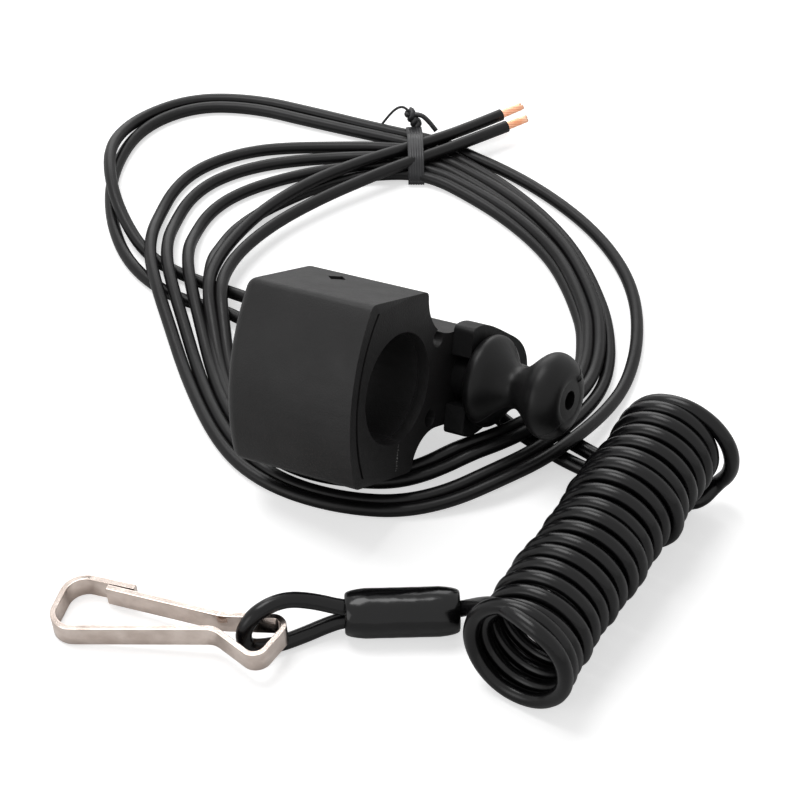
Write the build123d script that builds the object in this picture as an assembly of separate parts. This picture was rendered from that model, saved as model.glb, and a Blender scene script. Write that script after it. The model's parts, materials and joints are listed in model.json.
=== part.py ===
"""Engine kill switch with lanyard, lying on a flat surface with its leads coiled up.

A split housing clamps round a 22 mm handlebar. Its barrel carries a spring-loaded button,
and a forked clip on a coiled lanyard holds the button out. Pulled away, the clip lets the
button snap in, and a contact disc bridges two terminals and stops the engine.

Millimetres, +Z up. The origin is the centre of the handlebar bore. The switch is drawn in its
own frame: x along the bar towards the button, y back towards the barrel, z up the block. It is
then turned into the pose in which it lies. Cords are drawn straight in the resting frame, with
their heights counted from the surface.
"""

import math
import os

from build123d import *

# How the switch lies
bar_yaw = -31.0          # bar axis, seen from above
bar_rise = 11.6          # the button's end is propped up on the leads
barrel_drop = 28.9       # the barrel hangs down behind the block
bore_height = 25.52      # bore centre above the surface

# Housing
bar_r = 11.1             # 22.2 mm handlebar
mouth_r = 11.6           # relief at both mouths of the bore
mouth_depth = 2.5
block_length = 30.7
block_half_height = 18.8
front_edge_y = -12.2     # front face at its top and bottom edges
front_bulge = 4.5        # how far its middle stands forward of them
shoulder_y = 8.5         # where the top drops to the barrel
parting_y = 2.5
barrel_y = 25.4
barrel_z = -0.9          # the barrel's axis, below the bore's
barrel_r = 9.85
barrel_wall = 2.25
front_round = 2.0        # long edges at the front
far_front_round = 3.0    # upright edge at the front of the far end
shoulder_round = 1.4     # where the cove begins
groove_inset = 2.0       # bead line beside the front edge of the end face
groove_width = 0.7
groove_depth = 0.5
notch_width = 3.0        # small lozenge pocket on top, across the parting line
notch_depth = 0.6
tooling_hole_r = 1.85
tooling_hole_y = 13.8
tooling_hole_z = 8.4
tooling_hole_depth = 5.0

# Clamp screws and their threaded inserts
screw_edge = 4.3         # screw axis below the top face
screw_r = 1.5
screw_head_r = 2.8
screw_head_height = 2.2
screw_sink = 2.6         # depth of the head's counterbore below the shoulder
screw_tip_y = -8.0
insert_r = 2.3
insert_length = 6.0
socket_r = 1.25
fit_gap = 0.05
press_gap = 0.02
head_gap = 0.3
socket_share = 0.6       # of the head's height

# Switch chamber in the barrel
shank_r = 4.9
shank_clearance = 0.08
chamber_wall = 7.0       # wall behind the button's end of the barrel
end_cap_thickness = 3.0

# Kill clip
clip_thickness = 4.65
clip_gap = 0.15          # between the clip and the faces on both sides of it
slot_half = 5.25
prong_end_y = 19.5
clip_half = 11.7         # half its greatest width
clip_outline = [         # shares of its length, from the prongs' ends, and of its half width
    (0, 0.957), (0.165, 1.0), (0.358, 0.906), (0.621, 0.7), (0.856, 0.46), (0.951, 0.248), (1, 0),
]
prong_round = 1.2
clip_tip_y = 43.8
eye_r = 2.2
eye_y = 38.5

# Button
flange_r = 9.7
neck_r = 4.4
knob_r = 9.1
knob_length = 20.4       # from the flange's back face to the domed end
neck_share = 0.43        # of the knob's length, where it is thinnest
crown_share = 0.8        # and where its domed end is widest
rim_round = 1.4
knob_hole_r = 2.0
hole_rim = 2.0
knob_hole_depth = 8.0

# Plunger, spring and contacts
stem_r = 1.9
stem_tail = 1.85         # of the stem, past the disc
stem_socket_depth = 6.0
disc_gap = 1.2           # between the disc's rim and the chamber
disc_thickness = 1.2
ring_r = 3.2
ring_thickness = 0.8
snap_travel = 4.7        # how far the button snaps in when the clip has gone
spring_wire_r = 0.45
spring_gap = 1.6         # from the middle of the spring's wire to the chamber
spring_pitch = 1.56
base_thickness = 2.6
terminal_r = 1.3
rivet_r = 0.8
terminal_inset = 3.6     # from the terminals' axes to the chamber's wall
terminal_height = 0.6
terminal_tail = 1.9      # its crimp, behind the base
terminal_gap = 0.2       # between the crimp and the cap

# Leads
wire_r = 1.23
lead_sleeve_r = 1.65
lead_sleeve_length = 7.0
lead_straight = 7.0      # from the sleeve's end to the first bend
copper_r = 0.75
copper_length = 6.0
coil_height = 5.2        # two layers of wire and a little slack
lead_clearance = 0.4     # between the coiled leads and the housing that lies on them

# Lanyard
cord_r = 1.62
coil_r = 11.6
coil_length = 66.0
coil_near = (35.5, -64.6)
coil_heading = 30.5      # right of straight back, seen from above
coil_lift = 4.5          # the far end lies on its own tail
flare_r = 12.4
flare_length = 4.5
flare_step = 0.25        # how far the wider end turns stand below the others
sleeve_r = 5.0
sleeve_inner_r = 3.45
sleeve_length = 22.5
sleeve_centre = (13.8, -45.8)
sleeve_turn = 2.0
crimp_length = 8.8
crimp_half_width = 4.0
crimp_height = 4.0

# Snap hook, bent from one flat strip
strip = 1.2
strip_width = 4.6
hook_tilt = 4.4

# Twist tie
tie_width = 3.6
tie_thickness = 0.5
tie_span = 19.6          # across the bundle
tie_top = 9.0
tie_gap = 0.1
tie_corner = 1.1
knot_length = 5.0
knot_inset = 3.2         # from the band's outer side
tie_wire_r = 0.35
bow_steps = [(0.3, 1.0, 4.0), (-2.2, 1.8, 5.6), (-5.6, 1.2, 3.0), (-7.4, 0.4, -0.6)]

# Tunnels under the coiled leads: two ends, width and height
under_passes = [
    ((-45.0, 60.5), (-16.0, 42.5), 13.6, 4.0),
    ((34.0, 16.0), (58.0, -6.5), 13.5, 4.3),
]

half_length = block_length / 2
far_end_x = -half_length
upper_cove_r = block_half_height - barrel_z - barrel_r
lower_cove_r = block_half_height + barrel_z - barrel_r
screw_z = block_half_height - screw_edge
chamber_r = barrel_r - barrel_wall
chamber_near_x = half_length - chamber_wall
cap_inner_x = far_end_x + end_cap_thickness
base_x = cap_inner_x + terminal_gap + terminal_tail
contact_x = base_x + base_thickness + terminal_height
disc_x = contact_x + snap_travel
shank_inner_x = chamber_near_x
disc_r = chamber_r - disc_gap
spring_mean_r = chamber_r - spring_gap
terminal_spread = chamber_r - terminal_inset
clip_x = half_length + clip_gap
flange_x = clip_x + clip_thickness + clip_gap


def turned(vector):
    """A direction of the switch's own frame, in the resting frame."""
    v = Vector(*vector).rotate(Axis.X, -barrel_drop)
    return v.rotate(Axis.Y, -bar_rise).rotate(Axis.Z, bar_yaw)


switch_frame = Plane(origin=(0, 0, 0), x_dir=turned((1, 0, 0)), z_dir=turned((0, 0, 1)))
across_bar = Plane.YZ
barrel_line = Vector(0, barrel_y, barrel_z)


def laid(shape):
    """The shape in the pose in which the switch lies."""
    return shape.moved(switch_frame.location)


def resting(point):
    """A point of the switch's own frame, in the resting frame."""
    return switch_frame.from_local_coords(Vector(*point))


def above(point):
    """A point given by x, y and its height above the surface."""
    x, y, height = point
    return Vector(x, y, height - bore_height)


def rod(x_low, x_high, radius, y=0.0, z=0.0):
    """A round bar along the switch's x."""
    plane = Plane(origin=(x_low, y, z), z_dir=(1, 0, 0))
    return extrude(plane * Circle(radius), x_high - x_low)


def on_barrel(x_low, x_high, radius, z=0.0):
    """A round bar along the barrel's axis, or beside it."""
    return rod(x_low, x_high, radius, barrel_y, barrel_z + z)


def housing_profile():
    """Section of the block across the bar: a bulged front, then a cove down to the barrel."""
    top = block_half_height
    roof, belly = barrel_z + barrel_r, barrel_z - barrel_r
    with BuildSketch(across_bar) as outline:
        with BuildLine():
            Line((front_edge_y, top), (shoulder_y, top))
            RadiusArc((shoulder_y, top), (shoulder_y + upper_cove_r, roof), -upper_cove_r)
            Line((shoulder_y + upper_cove_r, roof), (barrel_y, roof))
            ThreePointArc((barrel_y, roof), (barrel_y + barrel_r, barrel_z), (barrel_y, belly))
            Line((barrel_y, belly), (shoulder_y + lower_cove_r, belly))
            RadiusArc((shoulder_y + lower_cove_r, belly), (shoulder_y, -top), -lower_cove_r)
            Line((shoulder_y, -top), (front_edge_y, -top))
            ThreePointArc((front_edge_y, -top), (front_edge_y - front_bulge, 0), (front_edge_y, top))
        make_face()
    return outline.sketch


def housing_envelope(clearance):
    """The housing grown all round, to keep the coiled leads off it."""
    return extrude(offset(housing_profile(), clearance), half_length + clearance, both=True)


def housing_blank():
    """The two halves in one."""
    blank = extrude(housing_profile(), half_length, both=True)
    long_edges = blank.edges().filter_by(Axis.X).group_by(Axis.Y)
    blank = fillet(long_edges[0], front_round)
    shoulder = [e for e in blank.edges().filter_by(Axis.X)
                if abs(e.center().Y - shoulder_y) < fit_gap and abs(e.center().Z) > block_half_height / 2]
    blank = fillet(shoulder, shoulder_round)
    blank = fillet(blank.faces().sort_by(Axis.X)[0].edges().sort_by(Axis.Y)[0], far_front_round)
    return blank


def bar_bore():
    """Cutter for the handlebar bore with its relieved mouths."""
    cutter = rod(-block_length, block_length, bar_r)
    for side in (-1, 1):
        cutter += rod(side * half_length - mouth_depth, side * half_length + mouth_depth, mouth_r)
    return cutter


def bead_groove():
    """Cutter for the fine groove beside the front edge of the button's end face."""
    reach = block_half_height - groove_inset
    y = front_edge_y + groove_inset
    with BuildSketch(Plane(origin=(half_length, 0, 0), x_dir=(0, 1, 0), z_dir=(1, 0, 0))) as line:
        with BuildLine():
            ThreePointArc((y, -reach), (y - front_bulge, 0), (y, reach))
            Line((y, reach), (y + groove_width, reach))
            ThreePointArc((y + groove_width, reach), (y + groove_width - front_bulge, 0),
                          (y + groove_width, -reach))
            Line((y + groove_width, -reach), (y, -reach))
        make_face()
    return extrude(line.sketch, groove_depth, both=True)


def lozenge_pocket():
    """Cutter for the small pocket on top of the block."""
    plane = Plane(origin=(-3.0, parting_y, block_half_height), x_dir=(1, 1, 0), z_dir=(0, 0, 1))
    return extrude(plane * Rectangle(notch_width, notch_width), notch_depth, both=True)


def screw_bores():
    """Cutters for the screws and their heads, from the shoulders of the rear half."""
    cutter = None
    for z in (screw_z, -screw_z):
        shaft = Plane(origin=(0, shoulder_y + 1, z), z_dir=(0, -1, 0))
        head = Plane(origin=(0, shoulder_y - screw_sink, z), z_dir=(0, 1, 0))
        hole = extrude(shaft * Circle(screw_r + fit_gap), shoulder_y + 1 - screw_tip_y + 0.5)
        hole += extrude(head * Circle(screw_head_r + head_gap), screw_sink + upper_cove_r)
        cutter = hole if cutter is None else cutter + hole
    return cutter


def insert_bores(radius):
    """Round bodies where the threaded inserts sit, flush with the front half's parting face."""
    found = []
    for z in (screw_z, -screw_z):
        plane = Plane(origin=(0, parting_y, z), z_dir=(0, -1, 0))
        found.append(extrude(plane * Circle(radius), insert_length))
    return found


def side_of_parting(sign):
    """A big box on one side of the parting face."""
    reach = 4 * block_length
    return Pos(0, parting_y + sign * reach / 2, 0) * Box(reach, reach, reach)


def housing_front():
    """Front half: the bulged cover that the screws draw up against the bar."""
    shell = housing_blank() & side_of_parting(-1)
    shell -= bar_bore()
    shell -= bead_groove()
    shell -= lozenge_pocket()
    shell -= screw_bores()
    for cutter in insert_bores(insert_r):
        shell -= cutter
    return shell


def housing_rear():
    """Rear half: saddle, shoulders and the barrel with the switch chamber."""
    shell = housing_blank() & side_of_parting(1)
    shell -= bar_bore()
    shell -= lozenge_pocket()
    shell -= screw_bores()
    shell -= on_barrel(chamber_near_x - 1, half_length + 1, shank_r + shank_clearance)
    shell -= on_barrel(far_end_x - 1, chamber_near_x, chamber_r)
    for z in (tooling_hole_z, -tooling_hole_z):
        shell -= rod(half_length - tooling_hole_depth, half_length + 1, tooling_hole_r,
                     tooling_hole_y, z)
    return shell


def clamp_screws():
    """Two socket-head screws, from the shoulders into the inserts."""
    group = []
    for z in (screw_z, -screw_z):
        seat = shoulder_y - screw_sink
        down = Plane(origin=(0, seat, z), z_dir=(0, -1, 0))
        up = Plane(origin=(0, seat, z), z_dir=(0, 1, 0))
        screw = extrude(down * Circle(screw_r), seat - screw_tip_y)
        screw += extrude(up * Circle(screw_head_r), screw_head_height)
        socket = Plane(origin=(0, seat + screw_head_height, z), z_dir=(0, -1, 0))
        screw -= extrude(socket * RegularPolygon(socket_r, 6), screw_head_height * socket_share)
        group.append(screw)
    return Compound(group)


def threaded_inserts():
    """Two brass inserts moulded into the front half."""
    group = []
    for body in insert_bores(insert_r):
        plane = Plane(origin=(0, parting_y + 1, body.center().Z), z_dir=(0, -1, 0))
        group.append(body - extrude(plane * Circle(screw_r + fit_gap), insert_length + 2))
    return Compound(group)


def button():
    """Spool-shaped pull knob with its shank, bored for the stem and open at the domed end."""
    tip_x = flange_x + knob_length
    neck_x = flange_x + neck_share * knob_length
    crown_x = flange_x + crown_share * knob_length
    with BuildSketch(Plane.XY) as half:
        with BuildLine():
            Line((shank_inner_x, 0), (shank_inner_x, shank_r))
            Line((shank_inner_x, shank_r), (flange_x, shank_r))
            Line((flange_x, shank_r), (flange_x, flange_r - rim_round))
            Spline((flange_x, flange_r - rim_round), (flange_x + rim_round / 2, flange_r - rim_round / 4),
                   (flange_x + 1.5 * rim_round, flange_r),
                   ((flange_x + neck_x) / 2, (flange_r + neck_r) / 2 + rim_round / 2),
                   (neck_x, neck_r), ((neck_x + crown_x) / 2, (neck_r + knob_r) / 2),
                   (crown_x, knob_r), ((crown_x + tip_x) / 2, knob_r - rim_round / 2),
                   (tip_x, knob_hole_r + hole_rim))
            Line((tip_x, knob_hole_r + hole_rim), (tip_x, 0))
            Line((tip_x, 0), (shank_inner_x, 0))
        make_face()
    body = revolve(half.sketch, Axis.X, 360).moved(Location(barrel_line))
    body -= on_barrel(tip_x - knob_hole_depth, tip_x + 1, knob_hole_r)
    return body - on_barrel(shank_inner_x - 1, shank_inner_x + stem_socket_depth, stem_r + press_gap)


def plunger_stem():
    """Steel stem pressed into the shank."""
    return on_barrel(disc_x - stem_tail, shank_inner_x + stem_socket_depth, stem_r)


def contact_disc():
    """Brass disc that bridges the terminals."""
    disc = on_barrel(disc_x, disc_x + disc_thickness, disc_r)
    return disc - on_barrel(disc_x - 1, disc_x + disc_thickness + 1, stem_r + press_gap)


def retaining_ring():
    """Ring that keeps the disc on the stem."""
    low = disc_x - ring_thickness
    ring = on_barrel(low, disc_x, ring_r)
    ring -= on_barrel(low - 1, disc_x + 1, stem_r + press_gap)
    opening = Pos(low, barrel_y + ring_r, barrel_z) * Box(3 * ring_thickness, 2 * ring_r, stem_r)
    return ring - opening


def return_spring():
    """Compression spring between the chamber wall and the contact disc."""
    low = disc_x + disc_thickness + spring_wire_r
    high = chamber_near_x - spring_wire_r
    height = high - low
    coil = Helix(pitch=spring_pitch, height=height, radius=spring_mean_r)
    start = Plane(origin=coil @ 0, z_dir=coil % 0)
    body = sweep(start * RegularPolygon(spring_wire_r, 6), path=coil, is_frenet=True)
    upright = Plane(origin=(low, barrel_y, barrel_z), x_dir=(0, 1, 0), z_dir=(1, 0, 0))
    return body.moved(upright.location)


def contact_base():
    """Insulating disc that carries the two terminals."""
    base = on_barrel(base_x, base_x + base_thickness, chamber_r - fit_gap)
    for z in (terminal_spread, -terminal_spread):
        base -= on_barrel(base_x - 1, base_x + base_thickness + 1, rivet_r + press_gap, z)
    return base


def terminal(z):
    """Brass rivet: a contact face, a shank through the base and a crimp for its wire."""
    head = base_x + base_thickness
    body = on_barrel(head, contact_x, terminal_r, z)
    body += on_barrel(base_x, head, rivet_r, z)
    body += on_barrel(base_x - terminal_tail, base_x, terminal_r, z)
    return body


def end_cap():
    """Plug in the barrel's far end, with a hole for each sleeved wire."""
    cap = on_barrel(far_end_x, cap_inner_x, chamber_r - fit_gap)
    for z in (terminal_spread, -terminal_spread):
        cap -= on_barrel(far_end_x - 1, cap_inner_x + 1, lead_sleeve_r, z)
    return cap


def lead_sleeve(z):
    """Soft sleeve that relieves a wire where it leaves the cap."""
    low = far_end_x - lead_sleeve_length
    sleeve = on_barrel(low, cap_inner_x, lead_sleeve_r, z)
    return sleeve - on_barrel(low - 1, cap_inner_x + 1, wire_r, z)


def kill_clip():
    """Forked plate that straddles the button's shank, with an eye in its tail."""
    reach = clip_tip_y - prong_end_y
    upper = [(prong_end_y + share * reach, height * clip_half) for share, height in clip_outline]
    lower = [(y, -z) for y, z in reversed(upper)]
    with BuildSketch(Plane(origin=(clip_x, 0, barrel_z), x_dir=(0, 1, 0), z_dir=(1, 0, 0))) as outline:
        with BuildLine():
            Line(lower[-1], upper[0])
            Spline(*upper)
            Spline(*lower)
        make_face()
    plate = extrude(outline.sketch, clip_thickness)
    plate = fillet(plate.edges().filter_by(Axis.X).group_by(Axis.Y)[0], prong_round)
    through = (clip_x - 1, clip_x + clip_thickness + 1)
    plate -= on_barrel(*through, slot_half)
    slot = Pos(clip_x + clip_thickness / 2, barrel_y - block_length / 2, barrel_z)
    plate -= slot * Box(3 * clip_thickness, block_length, 2 * slot_half)
    return plate - rod(*through, eye_r, eye_y, barrel_z)


def corner_radii(points):
    """Arc radii as large as the two runs beside each corner allow."""
    radii = []
    for before, here, after in zip(points, points[1:], points[2:]):
        a, b = here - before, after - here
        radii.append(0.45 * min(a.length, b.length) / math.tan(math.radians(a.get_angle(b)) / 2))
    return radii


def tube(name, points, radius):
    """A cord along straight runs joined by tangent arcs."""
    radii = corner_radii(points)
    path = FilletPolyline(*points, radius=radii)
    start = Plane(origin=path @ 0, z_dir=path % 0)
    body = sweep(start * Circle(radius), path=path)
    expected = math.pi * radius ** 2 * path.length
    print(name, "length", round(path.length, 1), "volume share", round(body.volume / expected, 3),
          "radii", [round(r, 1) for r in radii])
    return body


# Ring of coiled leads: (outer x, outer y, inner x, inner y), once round
ring_stations = [
    (-42.2, 59.0, -25.9, 52.4), (-41.0, 75.8, -24.1, 62.3), (-35.1, 92.2, -19.3, 70.0),
    (-21.7, 103.4, -11.6, 78.2), (-5.4, 105.9, 0.7, 86.9), (16.9, 104.1, 16.8, 88.7),
    (29.6, 96.9, 28.3, 82.4), (43.2, 86.6, 39.7, 71.0), (56.0, 71.7, 47.8, 58.3),
    (63.6, 55.0, 52.0, 43.7), (64.8, 38.0, 53.2, 33.3), (60.6, 20.1, 51.5, 20.5),
    (49.4, 2.7, 42.0, 6.5), (33.4, -9.2, 27.0, -2.5), (13.4, -14.9, 12.3, -7.0),
    (-6.1, -11.5, -3.3, -4.6), (-20.2, -1.9, -14.8, 4.6), (-28.9, 14.1, -22.4, 19.6),
    (-36.6, 38.0, -25.4, 37.6),
]

# Routes of the cords: x, y and height above the surface
upper_lead_route = [
    (-22.0, 48.0, 2.4), (-33.5, 54.6, 1.4), (-43.0, 61.6, 1.4), (-49.6, 73.0, 3.4),
    (-53.3, 84.5, 5.6), (-54.2, 97.0, 4.8), (-48.5, 111.0, 1.6), (-36.0, 119.0, 1.4),
    (-21.0, 118.5, 1.4), (-6.0, 112.5, 1.6), (7.5, 106.0, 2.0),
]
lower_lead_route = [
    (-23.0, 43.0, 2.0), (-35.8, 47.6, 1.3), (-46.5, 58.0, 1.3), (-52.0, 73.0, 1.3),
    (-52.8, 89.5, 1.3), (-47.0, 105.0, 1.3), (-34.5, 113.6, 1.3), (-20.5, 112.6, 1.3),
    (-7.5, 106.0, 1.6),
]
upper_tail_route = [
    (-3.0, 86.8, 6.9), (7.5, 92.6, 7.0), (18.0, 96.8, 7.0), (28.5, 101.8, 6.2), (37.0, 106.6, 5.4),
]
lower_tail_route = [
    (-1.0, 82.4, 6.9), (9.5, 88.6, 7.0), (19.5, 93.2, 7.0), (29.5, 97.8, 6.8), (38.2, 102.6, 5.2),
]
tail_route = [(78.6, -11.6, 3.4), (73.4, -15.2, 2.0), (66.3, -11.0, 2.0)]
loop_route = [
    (59.4, -4.9, 2.0), (53.2, 0.4, 1.7), (46.6, 5.8, 1.7), (41.6, 12.0, 3.6), (42.0, 13.6, 9.1),
    (39.5, 15.2, 11.3), (30.6, 20.6, 9.2), (27.6, 18.6, 2.6), (34.6, 10.2, 1.7), (42.2, 3.0, 1.7),
    (50.0, -3.4, 1.7), (57.6, -8.0, 2.0),
]
hook_loop_route = [
    (2.5, -46.2, 6.65), (-3.5, -46.2, 8.9), (-9.2, -47.2, 10.6), (-14.4, -50.4, 10.4),
    (-17.2, -52.0, 6.4), (-16.4, -52.6, 2.4), (-10.8, -51.4, 1.7), (-5.4, -48.8, 1.7),
    (-1.0, -46.8, 2.3), (2.5, -46.2, 3.35),
]
lead_route = [
    (-22.0, 48.0, 2.4), (-33.5, 54.6, 1.4), (-43.0, 61.6, 1.4), (-49.6, 73.0, 3.4),
    (-53.3, 84.5, 5.6), (-54.2, 97.0, 4.8), (-48.5, 111.0, 1.6), (-36.0, 119.0, 1.4),
    (-21.0, 118.5, 1.4), (-6.0, 112.5, 1.6), (7.5, 106.0, 2.0),
]
lower_lead_route = [
    (-23.0, 43.0, 2.0), (-35.8, 47.6, 1.3), (-46.5, 58.0, 1.3), (-52.0, 73.0, 1.3),
    (-52.8, 89.5, 1.3), (-47.0, 105.0, 1.3), (-34.5, 113.6, 1.3), (-20.5, 112.6, 1.3),
    (-7.5, 106.0, 1.6),
]
upper_tail_route = [
    (-3.0, 86.8, 6.9), (7.5, 92.6, 7.0), (18.0, 96.8, 7.0), (28.5, 101.8, 6.2), (37.0, 106.6, 5.4),
]
lower_tail_route = [
    (-1.0, 82.4, 6.9), (9.5, 88.6, 7.0), (19.5, 93.2, 7.0), (29.5, 97.8, 6.8), (38.2, 102.6, 5.2),
]
tail_route = [(78.6, -11.6, 3.4), (73.4, -15.2, 2.0), (66.3, -11.0, 2.0)]
loop_route = [
    (59.4, -4.9, 2.0), (53.2, 0.4, 1.7), (46.6, 5.8, 1.7), (41.6, 12.0, 3.6), (42.0, 13.6, 9.1),
    (39.5, 15.2, 11.3), (30.6, 20.6, 9.2), (27.6, 18.6, 2.6), (34.6, 10.2, 1.7), (42.2, 3.0, 1.7),
    (50.0, -3.4, 1.7), (57.6, -8.0, 2.0),
]
hook_loop_route = [
    (2.5, -46.2, 6.65), (-3.5, -46.0, 8.9), (-9.5, -46.6, 10.3), (-14.8, -48.2, 9.6),
    (-18.9, -50.6, 6.2), (-17.8, -51.6, 2.6), (-12.0, -50.8, 1.7), (-5.4, -48.6, 1.7),
    (-1.0, -46.8, 2.3), (2.5, -46.2, 3.35),
]
lead_route = [(25.1, -45.5, 5.0), (27.6, -46.6, 7.4), (28.2, -50.6, 13.0), (28.2, -56.4, 19.4),
              (31.6, -60.2, 23.2)]

# Bent strip of the snap hook, along its middle, from the nose round the eye to the tongue's end
hook_route = [
    (-38.4, -40.1), (-51.4, -35.6), (-55.8, -49.3), (-22.4, -51.6), (-13.9, -60.0), (-7.0, -49.8),
    (-20.9, -48.3), (-44.2, -39.6),
]
hook_radii = [4.4, 4.3, 4.0, 2.6, 2.4, 8.0]


def heights(route):
    """The points of a route, with their heights counted from the surface."""
    return [above(point) for point in route]


def lead_points(z, route):
    """A lead from its terminal straight out through the cap and sleeve, then along its route."""
    inside = resting((cap_inner_x + terminal_gap, barrel_y, barrel_z + z))
    outside = resting((far_end_x - lead_sleeve_length - lead_straight, barrel_y, barrel_z + z))
    return [inside, outside] + heights(route)


def wire_coil():
    """Outer shape of the coiled leads: a flat ring, bridged over what passes under it."""
    outer, inner = [], []
    for outer_x, outer_y, inner_x, inner_y in ring_stations:
        across = Vector(outer_x - inner_x, outer_y - inner_y).normalized() * wire_r
        outer.append((outer_x + across.X, outer_y + across.Y))
        inner.append((inner_x - across.X, inner_y - across.Y))
    floor = Plane(origin=(0, 0, -bore_height))
    ring = extrude(floor * make_face(Spline(*outer, periodic=True)), coil_height)
    ring -= extrude(floor * make_face(Spline(*inner, periodic=True)), coil_height)
    for start, end, width, height in under_passes:
        ring -= passage(start, end, width, height)
    ring -= laid(housing_envelope(lead_clearance))
    return ring - tie_block(tie_gap)


def passage(start, end, width, height):
    """A straight low tunnel on the surface."""
    a, b = above((*start, 0)), above((*end, 0))
    plane = Plane(origin=(a + b) / 2, x_dir=b - a, z_dir=(0, 0, 1))
    return extrude(plane * Rectangle((b - a).length, width), height)


def tie_frame():
    """The plane across the bundle where the tie goes round it, its x across and its y up."""
    outer_x, outer_y, inner_x, inner_y = ring_stations[5]
    middle = above(((outer_x + inner_x) / 2, (outer_y + inner_y) / 2, 0))
    return Plane(origin=middle, x_dir=(0.17, 0.98, 0), z_dir=(0.98, -0.17, 0))


def tie_block(clearance):
    """What the tie takes out of the bundle: a shallow channel under it."""
    plane = tie_frame().offset(-tie_width / 2 - clearance)
    channel = plane * Pos(0, tie_thickness / 2) * Rectangle(tie_span, tie_thickness + 2 * tie_gap)
    return extrude(channel, tie_width + 2 * clearance)


def twist_tie():
    """Flat band drawn round the bundle, its two ends twisted together above it."""
    plane = tie_frame()
    outside = Pos(0, tie_top / 2) * RectangleRounded(tie_span, tie_top, tie_corner)
    inside = Pos(0, tie_top / 2) * RectangleRounded(tie_span - 2 * tie_thickness,
                                                   tie_top - 2 * tie_thickness,
                                                   tie_corner - tie_thickness)
    band = extrude(plane * (outside - inside), tie_width / 2, both=True)
    root = plane.from_local_coords(Vector(tie_span / 2 - knot_inset, tie_top - tie_thickness / 2, 0))
    knot = extrude(Plane(origin=root, z_dir=(0.1, 0.25, 1)) * Ellipse(1.5, 1.0), knot_length)
    bow = [root + Vector(*step) for step in bow_steps]
    return band + knot + tube("tie bow", bow, tie_wire_r)


def copper_end(route):
    """Bared strands, twisted into a thin rod that leans on a little past the insulation."""
    end, before = above(route[-1]), above(route[-2])
    along = (end - before).normalized()
    core = extrude(Plane(origin=end, z_dir=along) * Circle(copper_r), copper_length)
    return fillet(core.faces().sort_by(Axis.X)[-1].edges(), copper_r * 0.5)


def lanyard_coil():
    """Outer shape of the coiled cord: a fat tube with a wider, looser ring at both ends."""
    heading = math.radians(coil_heading)
    level = Vector(math.sin(heading), math.cos(heading), 0)
    along = (level + Vector(0, 0, coil_lift / coil_length)).normalized()
    near = above((*coil_near, coil_r + flare_step))
    far = near + along * coil_length
    raised = Vector(0, 0, flare_r - coil_r - flare_step)
    body = extrude(Plane(origin=near, z_dir=along) * Circle(coil_r), coil_length)
    body += extrude(Plane(origin=near + raised, z_dir=along) * Circle(flare_r), flare_length)
    body += extrude(Plane(origin=far + raised, z_dir=-along) * Circle(flare_r), flare_length)
    hollow = coil_r - 2 * cord_r
    return body - extrude(Plane(origin=near - along, z_dir=along) * Circle(hollow), coil_length + 2)


def lanyard_sleeve():
    """Soft tube with rounded ends, pressed over the cord where it doubles back."""
    turn = math.radians(sleeve_turn)
    along = Vector(math.cos(turn), math.sin(turn), 0)
    start = above((*sleeve_centre, sleeve_r)) - along * sleeve_length / 2
    plane = Plane(origin=start, z_dir=along)
    body = extrude(plane * Circle(sleeve_r), sleeve_length)
    body = fillet(body.edges().filter_by(GeomType.CIRCLE), 1.6)
    return body - extrude(plane * Circle(sleeve_inner_r), sleeve_length)


def lanyard_crimp():
    """Flat ferrule on the two strands of the loop that holds the clip."""
    back, front = above(loop_route[0]), above(loop_route[-1])
    across = (back - front).normalized()
    away = Vector(across.Y, -across.X, 0)
    plane = Plane(origin=(back + front) / 2, x_dir=across, z_dir=away)
    return extrude(plane * SlotOverall(2 * crimp_half_width, crimp_height), crimp_length)


def snap_hook():
    """One flat strip on edge, bent round into a hook, an eye and a springy tongue."""
    points = [Vector(x, y, 0) for x, y in hook_route]
    path = FilletPolyline(*points, radius=hook_radii)
    start = Plane(origin=path @ 0, x_dir=(0, 0, 1), z_dir=path % 0)
    body = sweep(start * Rectangle(strip_width, strip), path=path, transition=Transition.RIGHT)
    pivot = Vector(*hook_route[2], 0)
    body = body.moved(Pos(-pivot))
    return body.moved(Pos(above((pivot.X, pivot.Y, strip_width / 2 + 0.1))) * Rot(0, -hook_tilt, 0))


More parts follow.
